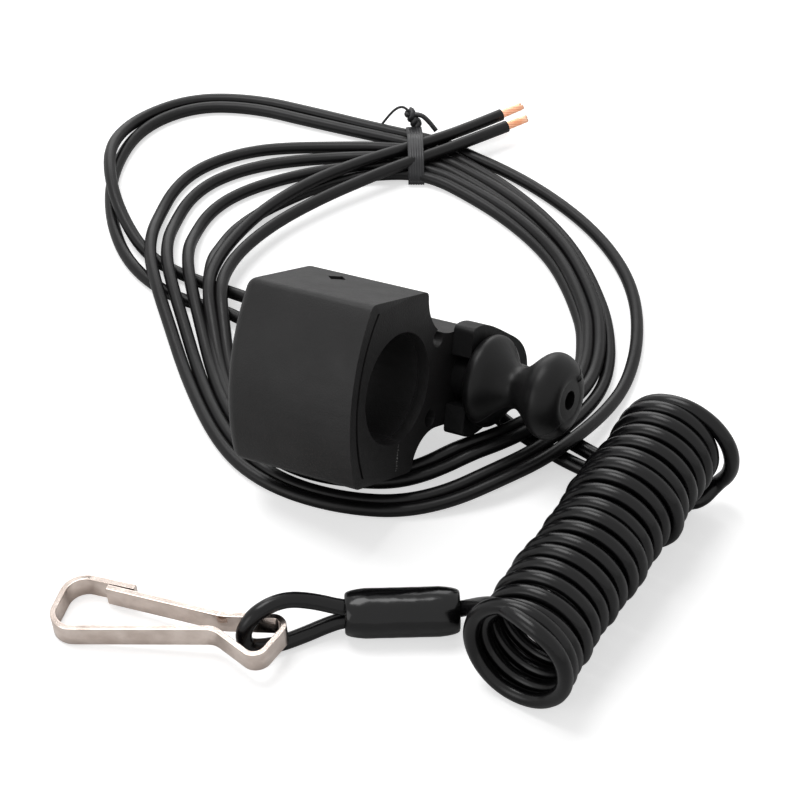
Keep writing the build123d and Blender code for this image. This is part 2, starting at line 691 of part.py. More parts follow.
def main():
    os.makedirs("parts", exist_ok=True)
    nodes = {
        "housing_front": laid(housing_front()),
        "housing_rear": laid(housing_rear()),
        "clamp_screws": laid(clamp_screws()),
        "threaded_inserts": laid(threaded_inserts()),
        "button": laid(button()),
        "plunger_stem": laid(plunger_stem()),
        "contact_disc": laid(contact_disc()),
        "retaining_ring": laid(retaining_ring()),
        "return_spring": laid(return_spring()),
        "contact_base": laid(contact_base()),
        "terminal_upper": laid(terminal(terminal_spread)),
        "terminal_lower": laid(terminal(-terminal_spread)),
        "end_cap": laid(end_cap()),
        "lead_sleeve_upper": laid(lead_sleeve(terminal_spread)),
        "lead_sleeve_lower": laid(lead_sleeve(-terminal_spread)),
        "kill_clip": laid(kill_clip()),
        "wire_coil": wire_coil(),
        "wire_lead_upper": tube("wire_lead_upper", lead_points(terminal_spread, upper_lead_route), wire_r),
        "wire_lead_lower": tube("wire_lead_lower", lead_points(-terminal_spread, lower_lead_route), wire_r),
        "wire_tail_upper": tube("wire_tail_upper", heights(upper_tail_route), wire_r),
        "wire_tail_lower": tube("wire_tail_lower", heights(lower_tail_route), wire_r),
        "copper_end_upper": copper_end(upper_tail_route),
        "copper_end_lower": copper_end(lower_tail_route),
        "twist_tie": twist_tie(),
        "lanyard_coil": lanyard_coil(),
        "lanyard_lead": tube("lanyard_lead", heights(lead_route), cord_r),
        "lanyard_tail": tube("lanyard_tail", heights(tail_route), cord_r),
        "lanyard_crimp": lanyard_crimp(),
        "clip_loop": tube("clip_loop", heights(loop_route), cord_r),
        "lanyard_sleeve": lanyard_sleeve(),
        "hook_loop": tube("hook_loop", heights(hook_loop_route), cord_r),
        "snap_hook": snap_hook(),
    }
    for name, shape in nodes.items():
        export_step(shape, f"parts/{name}.step")


main()
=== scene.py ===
"""Looks of an engine kill switch with lanyard, lying on a pale surface with its leads coiled up."""

import json
import math
import random

import bpy
from mathutils import Matrix, Vector


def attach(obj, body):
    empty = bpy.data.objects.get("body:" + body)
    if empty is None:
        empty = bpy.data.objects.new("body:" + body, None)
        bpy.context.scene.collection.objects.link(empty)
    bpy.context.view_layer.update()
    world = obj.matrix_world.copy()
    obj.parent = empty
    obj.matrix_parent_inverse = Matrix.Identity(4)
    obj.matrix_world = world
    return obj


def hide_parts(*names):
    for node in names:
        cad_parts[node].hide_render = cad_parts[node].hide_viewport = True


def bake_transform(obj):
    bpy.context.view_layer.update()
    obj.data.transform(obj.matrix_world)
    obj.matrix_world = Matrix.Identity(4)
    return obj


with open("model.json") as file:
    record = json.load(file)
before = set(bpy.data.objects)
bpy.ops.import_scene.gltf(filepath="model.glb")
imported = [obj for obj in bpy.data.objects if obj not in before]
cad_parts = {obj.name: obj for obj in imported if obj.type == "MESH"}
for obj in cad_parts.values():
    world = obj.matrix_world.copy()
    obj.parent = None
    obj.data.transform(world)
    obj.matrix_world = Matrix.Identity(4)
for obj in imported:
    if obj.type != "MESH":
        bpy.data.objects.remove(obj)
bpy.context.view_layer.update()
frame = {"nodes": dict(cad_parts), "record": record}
random.seed(7)

MM = 0.001

# How the switch lies, as in the model
BAR_YAW, BAR_RISE, BARREL_DROP = -31.0, 11.6, 28.9
BORE_HEIGHT = 25.52
HALF_LENGTH = 15.35
BARREL_Y, BARREL_Z = 25.4, -0.9
TERMINAL_SPREAD = 4.0

WIRE_R = 1.38
CORD_R = 1.62


def above(x, y, height):
    """A point given in millimetres, its height counted from the surface."""
    return Vector((x, y, height - BORE_HEIGHT)) * MM


def turned(vector):
    """A direction of the switch's own frame, in the resting frame."""
    turn = Matrix.Rotation(math.radians(BAR_YAW), 3, "Z")
    turn = turn @ Matrix.Rotation(math.radians(-BAR_RISE), 3, "Y")
    return turn @ Matrix.Rotation(math.radians(-BARREL_DROP), 3, "X") @ Vector(vector)


def resting(x, y, z):
    """A point of the switch's own frame in millimetres, in the resting frame in metres."""
    return turned((x, y, z)) * MM


# Materials

def new_material(name):
    """An empty node material with its shader and texture coordinates."""
    material = bpy.data.materials.new(name)
    material.use_nodes = True
    nodes, links = material.node_tree.nodes, material.node_tree.links
    return material, nodes, links, nodes["Principled BSDF"], nodes.new("ShaderNodeTexCoord")


def noise(nodes, links, where, scale, detail=3.0):
    """A noise texture of that many cells per metre."""
    texture = nodes.new("ShaderNodeTexNoise")
    texture.inputs["Scale"].default_value = scale
    texture.inputs["Detail"].default_value = detail
    links.new(where.outputs["Object"], texture.inputs["Vector"])
    return texture


def ramp(nodes, links, source, low, high, low_at=0.35, high_at=0.65):
    """A colour ramp between two colours."""
    element = nodes.new("ShaderNodeValToRGB")
    element.color_ramp.elements[0].position = low_at
    element.color_ramp.elements[1].position = high_at
    element.color_ramp.elements[0].color = (*low, 1)
    element.color_ramp.elements[1].color = (*high, 1)
    links.new(source, element.inputs["Fac"])
    return element.outputs["Color"]


def level(nodes, links, source, low, high):
    """A number between two limits."""
    element = nodes.new("ShaderNodeMapRange")
    element.inputs["To Min"].default_value = low
    element.inputs["To Max"].default_value = high
    links.new(source, element.inputs["Value"])
    return element.outputs["Result"]


def bump(nodes, links, shader, height, distance, strength=1.0, before=None):
    """A bump of that height in metres, on top of another where there is one."""
    element = nodes.new("ShaderNodeBump")
    element.inputs["Distance"].default_value = distance
    element.inputs["Strength"].default_value = strength
    links.new(height, element.inputs["Height"])
    if before is not None:
        links.new(before, element.inputs["Normal"])
    links.new(element.outputs["Normal"], shader.inputs["Normal"])
    return element.outputs["Normal"]


def plastic(name, dark, light, rough, grain, grain_depth, patch=90.0, specular=0.5):
    """Moulded plastic: faint patches of colour and gloss over a fine grain."""
    material, nodes, links, shader, where = new_material(name)
    shader.inputs["Specular IOR Level"].default_value = specular
    patches = noise(nodes, links, where, patch)
    links.new(ramp(nodes, links, patches.outputs["Fac"], dark, light), shader.inputs["Base Color"])
    gloss = noise(nodes, links, where, patch * 3)
    links.new(level(nodes, links, gloss.outputs["Fac"], rough[0], rough[1]), shader.inputs["Roughness"])
    fine = noise(nodes, links, where, grain, 4.0)
    normal = bump(nodes, links, shader, fine.outputs["Fac"], grain_depth)
    return material, nodes, links, shader, where, normal


def housing_plastic():
    """Matte moulding with a spark-eroded grain, whitened where flash was torn off."""
    material, nodes, links, shader, *_ = plastic(
        "housing", (0.0088, 0.0084, 0.0086), (0.0135, 0.013, 0.0133), (0.42, 0.56),
        2600.0, 0.00006, specular=0.28)
    worn = nodes.new("ShaderNodeAttribute")
    worn.attribute_name = "worn"
    blend = nodes.new("ShaderNodeMixRGB")
    blend.inputs["Color2"].default_value = (0.30, 0.30, 0.29, 1)
    links.new(worn.outputs["Fac"], blend.inputs["Fac"])
    links.new(shader.inputs["Base Color"].links[0].from_socket, blend.inputs["Color1"])
    links.new(blend.outputs["Color"], shader.inputs["Base Color"])
    return material


def button_plastic():
    """Smoother satin moulding."""
    return plastic("button", (0.0048, 0.0047, 0.0049), (0.008, 0.0079, 0.0082), (0.34, 0.44),
                   1500.0, 0.00002, specular=0.22)[0]


def clip_plastic():
    """Matte moulding of the clip, a shade lighter."""
    return plastic("clip", (0.006, 0.006, 0.0062), (0.010, 0.010, 0.0104), (0.42, 0.56),
                   2200.0, 0.00004, specular=0.2)[0]


def inner_plastic():
    """Plain black insulator."""
    return plastic("insulator", (0.008, 0.008, 0.008), (0.012, 0.012, 0.012), (0.5, 0.6),
                   1800.0, 0.00002, specular=0.3)[0]


def wire_jacket():
    """Satin wire insulation with faint handling marks."""
    return plastic("wire_jacket", (0.0042, 0.004, 0.0042), (0.0075, 0.0072, 0.0076), (0.3, 0.42),
                   900.0, 0.00003, patch=160.0, specular=0.26)[0]


def cord_gloss():
    """Glossy lanyard cord with a few soft waves in its skin."""
    return plastic("lanyard_cord", (0.0018, 0.0018, 0.0021), (0.0036, 0.0034, 0.0038), (0.2, 0.3),
                   700.0, 0.00002, patch=220.0, specular=0.3)[0]


def sleeve_gloss():
    """Soft glossy sleeve with slow dents."""
    material, nodes, links, shader, where, fine = plastic(
        "lanyard_sleeve", (0.002, 0.002, 0.0023), (0.0042, 0.0041, 0.0044), (0.13, 0.2),
        900.0, 0.00002, patch=120.0, specular=0.34)
    slow = noise(nodes, links, where, 140.0, 2.0)
    bump(nodes, links, shader, slow.outputs["Fac"], 0.0006, 0.6, fine)
    return material


def tie_plastic():
    """Thin ribbed film over wire."""
    return plastic("tie", (0.014, 0.014, 0.0155), (0.026, 0.026, 0.028), (0.34, 0.5),
                   1200.0, 0.00003, patch=300.0, specular=0.4)[0]


def metal(name, dark, light, rough, scratch_scale=2400.0):
    """Metal with slightly uneven gloss and fine scratches."""
    material, nodes, links, shader, where = new_material(name)
    shader.inputs["Metallic"].default_value = 1.0
    patches = noise(nodes, links, where, 260.0)
    links.new(ramp(nodes, links, patches.outputs["Fac"], dark, light), shader.inputs["Base Color"])
    gloss = noise(nodes, links, where, 700.0)
    links.new(level(nodes, links, gloss.outputs["Fac"], rough[0], rough[1]), shader.inputs["Roughness"])
    fine = noise(nodes, links, where, scratch_scale, 2.0)
    bump(nodes, links, shader, fine.outputs["Fac"], 0.00002, 0.6)
    return material


MATERIALS = {
    "housing": housing_plastic(),
    "button": button_plastic(),
    "clip": clip_plastic(),
    "insulator": inner_plastic(),
    "black_steel": metal("black_steel", (0.03, 0.03, 0.032), (0.05, 0.05, 0.052), (0.4, 0.55)),
    "spring_steel": metal("spring_steel", (0.5, 0.5, 0.5), (0.62, 0.62, 0.62), (0.25, 0.4)),
    "brass": metal("brass", (0.66, 0.48, 0.2), (0.78, 0.6, 0.3), (0.25, 0.4)),
    "copper": metal("copper", (0.9, 0.42, 0.24), (0.98, 0.62, 0.44), (0.3, 0.42)),
    "wire_jacket": wire_jacket(),
    "tie": tie_plastic(),
    "lanyard_cord": cord_gloss(),
    "lanyard_sleeve": sleeve_gloss(),
    "nickel": metal("nickel", (0.62, 0.525, 0.47), (0.78, 0.685, 0.625), (0.1, 0.2), 3200.0),
}


def dress_nodes():
    """Every CAD node gets the finish of its slot."""
    for row in frame["record"]["subparts"]:
        node = frame["nodes"][row["node"]]
        node.data.materials.clear()
        node.data.materials.append(MATERIALS[row["material_slot"]])


def finish_piece(piece, slot, body="housing", nodes=()):
    """A new piece gets its finish, its body and the nodes that it stands for."""
    piece.data.materials.clear()
    piece.data.materials.append(MATERIALS[slot])
    if body is not None:
        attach(piece, body)
    if nodes:
        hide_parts(*nodes)
    return piece


# Edges of the moulded and machined pieces: how far each is rounded, in millimetres
EDGE_ROUNDS = {
    "housing_front": 0.45, "housing_rear": 0.45, "kill_clip": 0.55, "end_cap": 0.3,
    "lead_sleeve_upper": 0.25, "lead_sleeve_lower": 0.25, "clamp_screws": 0.2,
    "lanyard_crimp": 0.35, "snap_hook": 0.16,
}


def round_edges():
    """Broken edges, as on the real mouldings."""
    for name, width in EDGE_ROUNDS.items():
        node = frame["nodes"][name]
        weld = node.modifiers.new("weld", "WELD")
        weld.merge_threshold = 0.00001
        rounding = node.modifiers.new("edges", "BEVEL")
        rounding.width = width * MM
        rounding.segments = 3
        rounding.limit_method = "ANGLE"
        rounding.angle_limit = math.radians(38)
        rounding.use_clamp_overlap = True
        rounding.harden_normals = True


# Curves and tubes

def spline_curve(name, points, radius=0.0, resolution=8):
    """A smooth NURBS curve with those control points, round where it has a radius."""
    data = bpy.data.curves.new(name, "CURVE")
    data.dimensions = "3D"
    data.resolution_u = resolution
    spline = data.splines.new("NURBS")
    spline.points.add(len(points) - 1)
    for held, point in zip(spline.points, points):
        held.co = (*point, 1)
    spline.order_u = 3
    spline.use_endpoint_u = True
    data.bevel_depth = radius
    data.bevel_resolution = 5
    data.use_fill_caps = True
    curve = bpy.data.objects.new(name, data)
    bpy.context.scene.collection.objects.link(curve)
    return curve


def line_of(points, resolution=8):
    """The points along the smooth curve through a route."""
    curve = spline_curve("route", points, resolution=resolution)
    mesh = bpy.data.meshes.new_from_object(curve)
    line = [vertex.co.copy() for vertex in mesh.vertices]
    data = curve.data
    bpy.data.objects.remove(curve)
    bpy.data.curves.remove(data)
    bpy.data.meshes.remove(mesh)
    return line


def length_of(line):
    """Length along a list of points."""
    return sum((b - a).length for a, b in zip(line, line[1:]))


def mesh_object(name, vertices, faces, smooth=True):
    """An object made from lists of vertices and faces."""
    mesh = bpy.data.meshes.new(name)
    mesh.from_pydata([tuple(v) for v in vertices], [], faces)
    mesh.validate()
    mesh.update()
    if smooth:
        mesh.polygons.foreach_set("use_smooth", [True] * len(mesh.polygons))
    piece = bpy.data.objects.new(name, mesh)
    bpy.context.scene.collection.objects.link(piece)
    return piece


def frames_along(line):
    """Two sideways directions at each point of a line, without twist."""
    found = []
    side = None
    for i, here in enumerate(line):
        ahead = line[min(i + 1, len(line) - 1)] - line[max(i - 1, 0)]
        ahead.normalize()
        if side is None:
            side = ahead.orthogonal()
        side = (side - ahead * side.dot(ahead)).normalized()
        found.append((side.copy(), ahead.cross(side)))
    return found


def rings_of_faces(rows, sides):
    """Faces between rings of vertices that follow each other."""
    faces = []
    for row in range(rows - 1):
        for k in range(sides):
            a, b = row * sides + k, row * sides + (k + 1) % sides
            faces.append((a, b, b + sides, a + sides))
    return faces


def tube_mesh(name, line, radius, sides=14):
    """A round closed tube that follows a line. The radius may be a function of the share."""
    vertices = []
    steps = len(line)
    for i, (here, (side, other)) in enumerate(zip(line, frames_along(line))):
        size = radius(i / (steps - 1)) if callable(radius) else radius
        for k in range(sides):
            angle = 2 * math.pi * k / sides
            vertices.append(here + (side * math.cos(angle) + other * math.sin(angle)) * size)
    faces = rings_of_faces(steps, sides)
    faces.append(tuple(reversed(range(sides))))
    faces.append(tuple(range((steps - 1) * sides, steps * sides)))
    return mesh_object(name, vertices, faces)


# Coiled leads

# Ring of coiled leads: (outer x, outer y, inner x, inner y), once round, as in the model
RING_STATIONS = [
    (-42.2, 59.0, -25.9, 52.4), (-41.0, 75.8, -24.1, 62.3), (-35.1, 92.2, -19.3, 70.0),
    (-21.7, 103.4, -11.6, 78.2), (-5.4, 105.9, 0.7, 86.9), (16.9, 104.1, 16.8, 88.7),
    (29.6, 96.9, 28.3, 82.4), (43.2, 86.6, 39.7, 71.0), (56.0, 71.7, 47.8, 58.3),
    (63.6, 55.0, 52.0, 43.7), (64.8, 38.0, 53.2, 33.3), (60.6, 20.1, 51.5, 20.5),
    (49.4, 2.7, 42.0, 6.5), (33.4, -9.2, 27.0, -2.5), (13.4, -14.9, 12.3, -7.0),
    (-6.1, -11.5, -3.3, -4.6), (-20.2, -1.9, -14.8, 4.6), (-28.9, 14.1, -22.4, 19.6),
    (-36.6, 38.0, -25.4, 37.6),
]
AROUND = len(RING_STATIONS)
TIE_AT, RIGHT_AT, BOTTOM_AT, UNDER_AT, LEFT_AT = 5, 9, 13.5, 17, 20

# Each pass from the tie round to the left again: (lane, height) at the tie, right, bottom,
# under the housing's far end, and left. Lane 0 is the ring's inner side and 1 its outer side.
UPPER_PASSES = [
    [(0.97, 1.4), (1.0, 1.4), (1.12, 1.4), (1.0, 1.4), (1.0, 1.4)],
    [(0.6, 1.4), (0.29, 3.3), (0.25, 3.2), (0.35, 1.4), (0.51, 1.4)],
    [(0.22, 1.4), (0.10, 3.1), (-0.16, 2.7), (0.12, 1.4), (0.25, 3.3)],
]
LOWER_PASSES = [
    [(0.8, 1.4), (0.42, 1.4), (0.76, 1.4), (0.68, 1.4), (0.79, 1.4)],
    [(0.4, 1.4), (0.2, 1.4), (0.08, 1.4), (0.2, 1.4), (0.16, 1.4)],
    [(0.04, 1.4), (0.0, 1.4), (-0.3, 1.4), (-0.1, 1.4), (0.07, 3.3)],
]

# Routes close to the model's: x, y and height above the surface
LEAD_STARTS = (1.0, -14.0)       # straight part, from inside the cap to behind it
UPPER_LEAD = [
    (-22.0, 48.0, 2.4), (-33.5, 54.6, 1.4), (-43.0, 61.6, 1.4), (-49.4, 73.0, 3.4),
    (-52.9, 84.5, 5.6), (-53.6, 97.0, 4.8), (-48.2, 110.0, 1.6), (-36.0, 117.4, 1.4),
    (-21.0, 117.0, 1.4), (-6.3, 111.6, 1.6), (7.5, 105.8, 2.0),
]
LOWER_LEAD = [
    (-23.0, 43.0, 2.0), (-35.8, 47.6, 1.4), (-46.5, 58.0, 1.4), (-52.0, 73.0, 1.4),
    (-53.2, 90.0, 1.4), (-47.9, 106.2, 1.4), (-35.4, 114.6, 1.4), (-21.0, 114.0, 1.4),
    (-7.3, 108.6, 1.5),
]
UPPER_TAIL = [
    (-28.3, 53.2, 4.6), (-25.0, 63.0, 4.0), (-17.8, 74.5, 3.9), (-7.1, 84.3, 4.1), (4.2, 90.7, 4.4),
    (13.4, 94.8, 4.6), (20.3, 97.8, 4.6), (28.5, 101.8, 4.9), (37.0, 106.6, 5.4),
]
LOWER_TAIL = [
    (-25.6, 51.6, 4.6), (-22.4, 60.4, 4.0), (-15.2, 69.8, 3.8), (-4.7, 78.4, 4.0), (6.5, 85.4, 4.4),
    (14.5, 90.0, 4.6), (22.6, 94.2, 4.6), (30.0, 98.2, 4.8), (38.2, 102.6, 5.2),
]

# Where a pass rises over the leads, the clip's loop and the tie's band: middle, half of the
# flat part, length of the slope, and height
HUMPS = [
    (18.8, 0.35, 0.9, 2.6), (12.45, 0.5, 0.9, 3.4),
    (TIE_AT, 0.2, 0.7, 0.6), (TIE_AT + AROUND, 0.2, 0.7, 0.6),
]

COPPER_R = 1.0
COPPER_LENGTH = 6.0
COPPER_INSIDE = 0.3      # how far the strands start inside the jacket
COPPER_UNEVEN = 0.7      # how much shorter a strand may be
COPPER_LAY = 2.6         # radians from root to tip
COPPER_NARROWS = 0.15    # share of its radius that the rope loses on the way
STRAND_R = 0.34
STRAND_RING = COPPER_R * 0.62
STRAND_STEPS = 14
OUTER_STRANDS = 8


def eased(share):
    """A smooth step from 0 to 1."""
    share = max(0.0, min(1.0, share))
    return share * share * (3 - 2 * share)


def keyed(keys, values, at):
    """A value eased between the keys on both sides of a place."""
    for low, high, a, b in zip(keys, keys[1:], values, values[1:]):
        if at <= high:
            return a + (b - a) * eased((at - low) / (high - low))
    return values[-1]


def hump(at, middle, flat, slope, height):
    """How much a pass rises over what lies under it."""
    away = abs(at - middle) - flat
    return height * (1 - eased(away / slope))


def between(points, at):
    """A point of a closed list of points, at a place that needn't be whole."""
    i, t = int(math.floor(at)), at - math.floor(at)
    a, b, c, d = (points[(i + k) % len(points)] for k in (-1, 0, 1, 2))
    return 0.5 * ((2 * b) + (c - a) * t + (2 * a - 5 * b + 4 * c - d) * t * t
                  + (3 * b - a - 3 * c + d) * t * t * t)


def pass_points(keys, start, end, step=0.5):
    """Points of one pass round the ring."""
    outer = [Vector((x, y, 0)) for x, y, _, _ in RING_STATIONS]
    inner = [Vector((x, y, 0)) for _, _, x, y in RING_STATIONS]
    places = (TIE_AT, RIGHT_AT, BOTTOM_AT, UNDER_AT, LEFT_AT, TIE_AT + AROUND)
    found = []
    for k in range(int((end - start) / step)):
        at = start + k * step
        lane = keyed(places, [key[0] for key in keys], at)
        height = keyed(places, [key[1] for key in keys], at)
        height += sum(hump(at, *each) for each in HUMPS)
        edge, core = between(outer, at), between(inner, at)
        spot = core + (edge - core) * lane
        found.append(above(spot.x, spot.y, height))
    return found


def wire_route(z, lead, passes, tail):
    """One wire: out of the barrel, round the left, three passes, then over the tie to its end."""
    route = [resting(x - HALF_LENGTH, BARREL_Y, BARREL_Z + z) for x in LEAD_STARTS]
    route += [above(*point) for point in lead]
    for n, keys in enumerate(passes):
        last = n == len(passes) - 1
        following = keys[-1] if last else passes[n + 1][0]
        start = TIE_AT if n else TIE_AT + 0.5
        end = LEFT_AT - 1 if last else TIE_AT + AROUND
        route += pass_points(keys + [following], start, end)
    return route + [above(*point) for point in tail]


def copper_strands(name, end, along):
    """Bared strands, laid into a loose rope with uneven tips."""
    side = along.orthogonal().normalized()
    other = along.cross(side)
    strands = []
    for k in range(OUTER_STRANDS + 1):
        ring = 0.0 if k == 0 else STRAND_RING
        phase = 2 * math.pi * k / OUTER_STRANDS
        reach = COPPER_LENGTH - random.uniform(0.0, COPPER_UNEVEN)
        line = []
        for i in range(STRAND_STEPS + 1):
            share = i / STRAND_STEPS
            angle = phase + share * COPPER_LAY
            spread = ring * (1 - COPPER_NARROWS * share)
            line.append(end + (along * (reach * share - COPPER_INSIDE)
                               + side * math.cos(angle) * spread
                               + other * math.sin(angle) * spread) * MM)
        strands.append(tube_mesh(f"{name}_{k}", line, STRAND_R * MM, 8))
    return join(strands, name)


def join(pieces, name):
    """Several meshes as one."""
    vertices, faces = [], []
    for piece in pieces:
        first = len(vertices)
        vertices += [v.co.copy() for v in piece.data.vertices]
        faces += [tuple(first + i for i in p.vertices) for p in piece.data.polygons]
        data = piece.data
        bpy.data.objects.remove(piece)
        bpy.data.meshes.remove(data)
    return mesh_object(name, vertices, faces)


def make_wire(name, z, lead, passes, tail, nodes, copper_node):
    """One lead with its bare end."""
    route = wire_route(z, lead, passes, tail)
    line = line_of(route)
    wire = spline_curve(name, route, WIRE_R * MM)
    finish_piece(wire, "wire_jacket", nodes=nodes)
    copper = copper_strands(name + "_strands", line[-1], (line[-1] - line[-2]).normalized())
    finish_piece(copper, "copper", nodes=[copper_node])
    print(name, "length", round(length_of(line), 3))


# Lanyard

COIL_R = 11.35
COIL_LENGTH = 70.2
COIL_NEAR = (34.0, -65.3)
COIL_HEADING = 31.0
COIL_LIFT = 3.4
COIL_TURNS = 19
COIL_END = 0.32          # of a turn, past the last whole one
COIL_STEPS = 16          # points a turn
FIRST_ANGLE = 0.35       # of the near ring, past its top
CLOSING_UP = 0.98        # under 1, so the turns lie a little closer towards the far end
TURN_LEAN = 0.5          # how far a turn's top leans along the coil
RING_R = 12.6
RING_TURNS = (0.5, 1.1)  # where the near ring begins to narrow, and over how many turns
RING_ALONG, RING_LEAN = 1.3, 0.9  # what the near ring lies further along, and leans more
LOOSE_TURNS = (0.9, 1.1)  # how long before the last whole turn the coil opens, and over how many
LOOSE_WIDER, LOOSE_BACK, LOOSE_ASIDE, LOOSE_LOWER = 1.7, 1.2, 1.7, 1.9
SLACK_TURN = (13.28, 0.36, 1.5)  # a turn that stands out: its place, width and height
RADIUS_WAVE, PITCH_WAVE, SIDE_WAVE = (0.2, 2.3), (0.2, 1.7), (0.3, 0.9)
CLIP_LOOP = [
    (59.4, -4.9, 2.0), (53.2, 0.4, 1.7), (46.6, 5.8, 1.7), (41.6, 12.0, 3.6), (42.0, 13.6, 9.1),
    (39.5, 15.2, 11.3), (30.6, 20.6, 9.2), (27.6, 18.6, 2.6), (34.6, 10.2, 1.7), (42.2, 3.0, 1.7),
    (50.0, -3.4, 1.7), (57.6, -8.0, 2.0),
]
LANYARD_TAIL = [(66.3, -11.0, 2.0), (70.2, -13.2, 1.8), (74.4, -14.2, 2.5)]
LANYARD_LEAD = [
    (33.2, -59.8, 22.4), (30.6, -54.4, 17.4), (28.6, -50.0, 12.0), (26.6, -46.8, 7.6),
    (24.0, -45.5, 5.4), (18.0, -45.7, 5.9), (9.0, -46.0, 6.4),
]
HOOK_LOOP = [
    (2.5, -46.2, 6.65), (-3.5, -46.2, 8.9), (-9.2, -47.2, 10.6), (-14.4, -50.4, 10.4),
    (-17.2, -52.0, 6.4), (-16.4, -52.6, 2.4), (-10.8, -51.4, 1.7), (-5.4, -48.8, 1.7),
    (-1.0, -46.8, 2.3), (2.5, -46.2, 3.35), (9.0, -46.0, 3.5), (18.0, -45.7, 3.3),
]


def coil_axis():
    """Start, direction, right and up of the coiled part, in millimetres."""
    heading = math.radians(COIL_HEADING)
    level_way = Vector((math.sin(heading), math.cos(heading), 0))
    along = (level_way + Vector((0, 0, COIL_LIFT / COIL_LENGTH))).normalized()
    right = along.cross(Vector((0, 0, 1))).normalized()
    return Vector((*COIL_NEAR, COIL_R)), along, right, right.cross(along)


def wave(turn, height, rate):
    """Slow unevenness of the coil: its height in millimetres and its radians a turn."""
    return height * math.sin(rate * turn)


def coil_points():
    """The coil from its near ring to its loose far turn, as points in millimetres."""
    start, along, right, up = coil_axis()
    turns = COIL_TURNS + COIL_END
    steps = int(turns * COIL_STEPS)
    slack_at, slack_width, slack_rise = SLACK_TURN
    found = []
    for i in range(steps + 1):
        turn = i / COIL_STEPS
        angle = 2 * math.pi * turn + FIRST_ANGLE
        wide = 1 - eased((turn - RING_TURNS[0]) / RING_TURNS[1])
        loose = eased((turn - COIL_TURNS + LOOSE_TURNS[0]) / LOOSE_TURNS[1])
        radius = COIL_R - CORD_R + (RING_R - COIL_R) * wide + LOOSE_WIDER * loose
        radius += wave(turn, *RADIUS_WAVE) * (1 - wide)
        radius += slack_rise * math.exp(-((turn - slack_at) / slack_width) ** 2)
        away = COIL_LENGTH * (turn / turns) ** CLOSING_UP + RING_ALONG * wide - LOOSE_BACK * loose
        away += (TURN_LEAN + RING_LEAN * wide) * math.cos(angle)
        away += wave(turn, *PITCH_WAVE) * (1 - wide)
        aside = wave(turn, *SIDE_WAVE) + LOOSE_ASIDE * loose
        centre = start + along * away + right * aside
        centre += Vector((0, 0, (RING_R - COIL_R) * wide - LOOSE_LOWER * loose))
        found.append(centre + (up * math.cos(angle) + right * math.sin(angle)) * radius)
    return found


def lanyard_route():
    """From the crimp under the coil, back through its turns to the sleeve and round the hook."""
    route = LANYARD_TAIL + coil_points()[::-1] + LANYARD_LEAD + HOOK_LOOP
    return [above(*point) for point in route]


SLEEVE_R, SLEEVE_LENGTH = 5.0, 22.5
SLEEVE_CENTRE, SLEEVE_TURN = (13.8, -45.8), 2.0
SLEEVE_END = [           # distance from its end and radius, from inside its mouth outwards
    (3.0, 3.2), (1.0, 3.25), (0.25, 3.5), (0.0, 3.75), (0.1, 4.05),
    (0.5, 4.36), (1.3, 4.62), (2.5, 4.84), (4.0, 5.0),
]
SLEEVE_ROWS = (5.4, 1.3, 10)     # between its ends: the first, the step and how many
SLEEVE_WAIST, SLEEVE_LOBES = 0.03, 0.004         # depth of its waves, and share of its lobes
SLEEVE_UNDER = 0.04      # smaller than the radii above, to stay inside the model's
SLEEVE_SIDES = 48


def soft_sleeve():
    """Dipped sleeve with rolled ends, a little uneven, over the doubled cord."""
    turn = math.radians(SLEEVE_TURN)
    along = Vector((math.cos(turn), math.sin(turn), 0))
    side, up = Vector((-along.y, along.x, 0)), Vector((0, 0, 1))
    start = above(*SLEEVE_CENTRE, SLEEVE_R) - along * SLEEVE_LENGTH / 2 * MM
    rows = list(SLEEVE_END)
    first, step, count = SLEEVE_ROWS
    rows += [(first + step * k, SLEEVE_R - SLEEVE_WAIST * math.sin(1.1 * k) ** 2)
             for k in range(count)]
    rows += [(SLEEVE_LENGTH - at, radius) for at, radius in reversed(SLEEVE_END)]
    vertices = []
    for at, radius in rows:
        for k in range(SLEEVE_SIDES):
            angle = 2 * math.pi * k / SLEEVE_SIDES
            lobe = 1 + SLEEVE_LOBES * math.sin(3 * angle + 0.2 * at)
            size = radius * lobe - SLEEVE_UNDER
            out = side * math.cos(angle) + up * math.sin(angle)
            vertices.append(start + (along * at + out * size) * MM)
    faces = rings_of_faces(len(rows), SLEEVE_SIDES)
    faces.append(tuple(range(SLEEVE_SIDES)))
    faces.append(tuple(reversed(range((len(rows) - 1) * SLEEVE_SIDES, len(rows) * SLEEVE_SIDES))))
    sleeve = mesh_object("soft_sleeve", vertices, faces)
    return finish_piece(sleeve, "lanyard_sleeve", nodes=["lanyard_sleeve"])


def make_lanyard():
    """The lanyard cord, and the loop that holds the clip."""
    line = line_of(lanyard_route(), 6)
    cord = tube_mesh("lanyard", line, CORD_R * MM)
    finish_piece(cord, "lanyard_cord",
                 nodes=["lanyard_tail", "lanyard_coil", "lanyard_lead", "hook_loop"])
    hook, sleeve = frame["nodes"]["snap_hook"], soft_sleeve()
    print("lanyard length", round(length_of(line), 3))
    line = line_of([above(*point) for point in CLIP_LOOP], 10)
    loop = tube_mesh("lanyard_loop", line, CORD_R * MM)
    finish_piece(loop, "lanyard_cord", body=None, nodes=["clip_loop"])
    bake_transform(loop)
    print("loop length", round(length_of(line), 3))


# Twist tie

